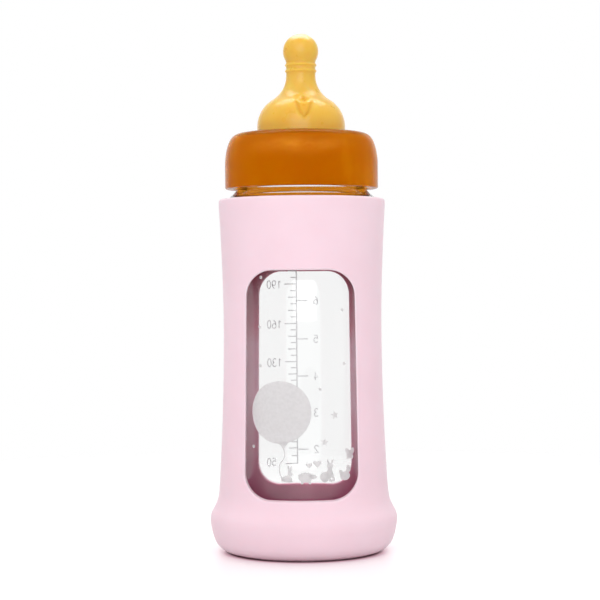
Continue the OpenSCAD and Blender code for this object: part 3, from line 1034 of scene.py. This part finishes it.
# Animals, each of ovals round a place on the ground: (x, z, across, up, lean)
BUTTERFLY = ((-0.9, 0.8, 0.75, 1.15, 25), (0.9, 0.8, 0.75, 1.15, -25), (-0.7, -0.8, 0.65, 0.75, -20),
             (0.7, -0.8, 0.65, 0.75, 20), (0, 0, 0.28, 1.2, 0))
RABBIT = ((-0.2, 1.2, 2.0, 1.25, 0), (1.0, 3.1, 1.05, 0.9, 0), (0.4, 5.0, 0.38, 1.3, 8),
          (1.3, 5.0, 0.38, 1.3, -10), (-2.0, 0.9, 0.6, 0.6, 0), (1.2, 0.4, 0.9, 0.42, 0))
HEDGEHOG = ((-0.4, 1.9, 2.5, 1.6, 0), (2.3, 2.3, 1.3, 0.75, -12), (-1.6, 0.2, 0.55, 0.5, 0),
            (1.1, 0.2, 0.55, 0.5, 0))
SPINES = tuple((-0.4 + 2.6 * sind(lean), 1.9 + 1.7 * cosd(lean), 0.28, 0.4, -lean)
               for lean in range(-60, 61, 20))
SQUIRREL = ((-0.9, 1.7, 1.6, 1.5, 20), (0.7, 2.6, 1.0, 2.1, -6), (0.9, 5.0, 1.1, 0.95, 0),
            (0.2, 6.4, 0.3, 0.75, 20), (1.7, 6.4, 0.3, 0.75, -20), (1.9, 1.6, 0.45, 1.7, 18),
            (-0.8, 0.3, 1.0, 0.4, 0), (1.2, 0.3, 0.8, 0.4, 0))
HEN = ((0, 1.5, 1.9, 1.45, 0), (1.2, 3.4, 0.9, 0.85, 0), (-1.6, 2.6, 0.55, 1.0, 25),
       (0.8, 4.4, 0.3, 0.4, 0), (1.4, 4.4, 0.3, 0.4, 0))
ANIMALS = (  # shapes, place, size and the points of each oval
    (BUTTERFLY, (19.2, 38.5), 1.2, 20),
    (RABBIT, (-5.0, 28.8), 0.95, 20),
    (HEDGEHOG, (2.0, 28.4), 1.05, 20),
    (SPINES, (2.0, 28.4), 1.05, 8),
    (SQUIRREL, (9.7, 28.8), 1.15, 20),
    (HEN, (17.0, 28.9), 1.15, 20),
)


def front_figures(material):
    """Plain generic figures on the front: a balloon on its string, stars, hearts, dots and animals."""
    figures = Print("front_figures")
    figures.oval((-7.85, 54.15), 11.75, 11.4, count=96)
    figures.polygon([(-9.2, 43.3), (-7.5, 42.2), (-6.8, 41.1), (-6.2, 41.1), (-5.3, 42.3), (-4.4, 43.6)])
    string = [(-6.5, 41.2), (-6.1, 39.4), (-6.3, 37.5), (-7.5, 35.9),
              (-8.1, 34.2), (-7.9, 32.0), (-7.0, 30.1), (-6.2, 29.3)]
    figures.strip(smooth(string), 0.4)
    for x, z in DOTS:
        figures.oval((x, z), 0.6, 0.6, count=16)
    figures.star((12.7, 53.0), 1.75, 12)
    figures.star((8.7, 43.2), 1.65, -8)
    figures.heart((2.9, 34.9), 1.15)
    figures.heart((5.9, 35.5), 1.5)
    for shapes, place, size, count in ANIMALS:
        for x, z, across, up, lean in shapes:
            centre = (place[0] + x * size, place[1] + z * size)
            figures.oval(centre, across * size, up * size, lean, count)
    return figures.wrap(-90, material)


# ---- The object ----

PIECES = (
    ("silicone_sleeve_soft", silicone_sleeve, "silicone_sleeve", "sleeve", "silicone", silicone_paint),
    ("glass_bottle_clear", glass_bottle, "glass_bottle", "bottle", "glass", glass_paint),
    ("teat_latex", teat, "teat", "teat", "latex", latex_paint),
    ("screw_ring_amber", screw_ring, "screw_ring", "ring", "ring", ring_paint),
)

for name, shape, node, body, slot, paint in PIECES:
    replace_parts(finish_piece(name, shape(), body, paint()), node)

# The scale's enamel is painted a little greyer than the figures' white: painted shade for its face seen
# through the glass from inside.
volume_scale(enamel_paint("enamel_with_painted_shade", linear(232, 230, 232), 0.58))
front_figures(enamel_paint("white_enamel", linear(253, 250, 251), 0.25))


# ---- Stage ----

ROOM_LIGHT = 0.80  # how strongly the white surrounding lights the object
SIDE_GLOSS = 0.4  # how bright the room beside and before the backdrop looks in a gloss
FLOOR_LIFT = 0.2  # brings the floor up to white away from the foot
FLOOR_HALF = 6.0  # metres; the floor is twice this across
FLOOR_FADE = (0.12, 0.4)  # metres from the foot, between which the floor gives way to the surrounding
BACKDROP_FROM = (0.68, 0.84)  # how far towards +Y a glossy ray looks, from the dim room to the white backdrop


def seen_rays(nodes, links):
    """1 for rays from the eye, and for those that glass and gloss send on."""
    path = add_node(nodes, "LightPath").outputs
    seen = path["Is Camera Ray"]
    for kind in ("Is Glossy Ray", "Is Transmission Ray"):
        seen = add_math(nodes, links, "MAXIMUM", seen, path[kind])
    return seen


def plain_floor():
    """A white floor that keeps the object's shadow: a lift brings it up to white away from the foot. Just
    outside the foot it has a painted shadow, a dark pink in its colour, and a painted pink glow in its lift.
    """
    half = FLOOR_HALF
    mesh = bpy.data.meshes.new("floor")
    mesh.from_pydata([(-half, -half, 0), (half, -half, 0), (half, half, 0), (-half, half, 0)],
                     [], [(0, 1, 2, 3)])
    paint = Paint("white_floor", Roughness=0.3, Specular_IOR_Level=0.5)
    nodes, link = paint.nodes, paint.link
    place = add_node(nodes, "TexCoord")
    away = add_node(nodes, "VectorMath")
    away.operation = "LENGTH"
    lift = add_node(nodes, "MapRange", From_Max=3 * FOOT_R * MM)
    glow = add_node(nodes, "Emission")
    add = add_node(nodes, "AddShader")
    link(place.outputs["Object"], away.inputs[0])
    link(away.outputs["Value"], lift.inputs["Value"])
    # Just outside the foot the lift is stronger and pink: a painted pink glow in the shadow.
    lift_and_painted_glow = paint.ramp(lift.outputs["Result"], [
        (0.345, (0, 0, 0, 1)), (0.37, (0.33, 0.23, 0.26, 1)), (0.45, (0.25, 0.2, 0.215, 1)),
        (0.6, (0.245, 0.24, 0.245, 1)), (1.0, (FLOOR_LIFT, FLOOR_LIFT, FLOOR_LIFT, 1))])
    link(lift_and_painted_glow, glow.inputs["Color"])
    link(seen_rays(nodes, paint.links), glow.inputs["Strength"])
    # A dark pink ring at the foot's edge is a painted shadow.
    colour_and_painted_shadow = paint.ramp(lift.outputs["Result"], [
        (0.345, linear(176, 120, 140)), (0.4, linear(230, 230, 230)), (1.0, linear(230, 230, 230))])
    paint.drive("Base Color", colour_and_painted_shadow)
    link(paint.shader.outputs["BSDF"], add.inputs[0])
    link(glow.outputs["Emission"], add.inputs[1])
    # Far away the floor gives way to the white surrounding
    fade = add_node(nodes, "MapRange", From_Min=FLOOR_FADE[0], From_Max=FLOOR_FADE[1])
    nothing = add_node(nodes, "BsdfTransparent")
    blend = add_node(nodes, "MixShader")
    link(away.outputs["Value"], fade.inputs["Value"])
    link(fade.outputs["Result"], blend.inputs["Fac"])
    link(add.outputs["Shader"], blend.inputs[1])
    link(nothing.outputs["BSDF"], blend.inputs[2])
    link(blend.outputs["Shader"], paint.output.inputs["Surface"])
    mesh.materials.append(paint.material)
    floor = placed("floor", mesh)


def white_world():
    """An even white surrounding: it lights softly, and rays that reach the eye see it as white."""
    world = bpy.data.worlds.new("white_room")
    world.use_nodes = True
    nodes, links = world.node_tree.nodes, world.node_tree.links
    room = nodes["Background"]
    room.inputs["Color"].default_value = (1, 1, 1, 1)
    room.inputs["Strength"].default_value = ROOM_LIGHT
    backdrop = add_node(nodes, "Background", Color=(1, 1, 1, 1))
    toward = add_node(nodes, "TexCoord")
    parts = add_node(nodes, "SeparateXYZ")
    behind = add_node(nodes, "MapRange", From_Min=BACKDROP_FROM[0], From_Max=BACKDROP_FROM[1],
                      To_Min=SIDE_GLOSS, To_Max=1.0)
    path = add_node(nodes, "LightPath")
    strength = add_node(nodes, "Mix")
    strength.inputs[2].default_value = 1.0
    links.new(toward.outputs["Generated"], parts.inputs[0])
    links.new(parts.outputs["Y"], behind.inputs["Value"])
    links.new(path.outputs["Is Reflection Ray"], strength.inputs[0])
    links.new(behind.outputs["Result"], strength.inputs[3])
    links.new(strength.outputs[0], backdrop.inputs["Strength"])
    mix = add_node(nodes, "MixShader")
    links.new(seen_rays(nodes, links), mix.inputs["Fac"])
    links.new(room.outputs[0], mix.inputs[1])
    links.new(backdrop.outputs[0], mix.inputs[2])
    links.new(mix.outputs[0], nodes["World Output"].inputs["Surface"])
    bpy.context.scene.world = world


LAMP_AIM = Vector((0, 0, 0.1))


def soft_lamp(name, place, power, across, deep):
    """A lamp with a flat face that looks at the bottle's middle, in metres and watts."""
    data = bpy.data.lights.new(name, "AREA")
    data.shape = "RECTANGLE"
    data.energy = power
    data.size = across
    data.size_y = deep
    lamp = placed(name, data)
    lamp.location = place
    lamp.rotation_euler = (LAMP_AIM - lamp.location).to_track_quat("-Z", "Y").to_euler()


FRAME_PX = 600  # the picture's side
FOCAL_PX = 1715.0  # focal length in the picture's pixels
EYE_DISTANCE = 0.65  # from the bottle's axis
EYE_HEIGHT = 0.1005
EYE_TURN = 1.9  # degrees to the right of the front
EYE_ROLL = 0.42  # degrees
HORIZON_PX = 285.0  # the horizon's height in the picture
AXIS_PX = 302.3  # the axis's place across the picture, at the horizon


def camera():
    """The camera where the photograph was taken from."""
    data = bpy.data.cameras.new("camera")
    data.sensor_width = 36.0
    data.lens = data.sensor_width * FOCAL_PX / FRAME_PX
    data.shift_x = (FRAME_PX / 2 - AXIS_PX) / FRAME_PX
    data.shift_y = (HORIZON_PX - FRAME_PX / 2) / FRAME_PX
    data.clip_start = 0.01
    eye = placed("camera", data)
    turn = math.radians(EYE_TURN)
    eye.location = (EYE_DISTANCE * math.sin(turn), -EYE_DISTANCE * math.cos(turn), EYE_HEIGHT)
    look = Matrix.Rotation(turn, 4, "Z") @ Matrix.Rotation(math.radians(90), 4, "X")
    eye.rotation_euler = (look @ Matrix.Rotation(-math.radians(EYE_ROLL), 4, "Z")).to_euler()
    bpy.context.scene.camera = eye


plain_floor()
white_world()
soft_lamp("key_lamp", (-0.04, -1.1, 0.53), 4.7, 0.95, 1.0)
soft_lamp("top_lamp", (0.0, 0.18, 0.75), 2.3, 0.8, 0.26)
camera()

scene = bpy.context.scene
scene.view_settings.view_transform = "Standard"

bpy.context.view_layer.update()
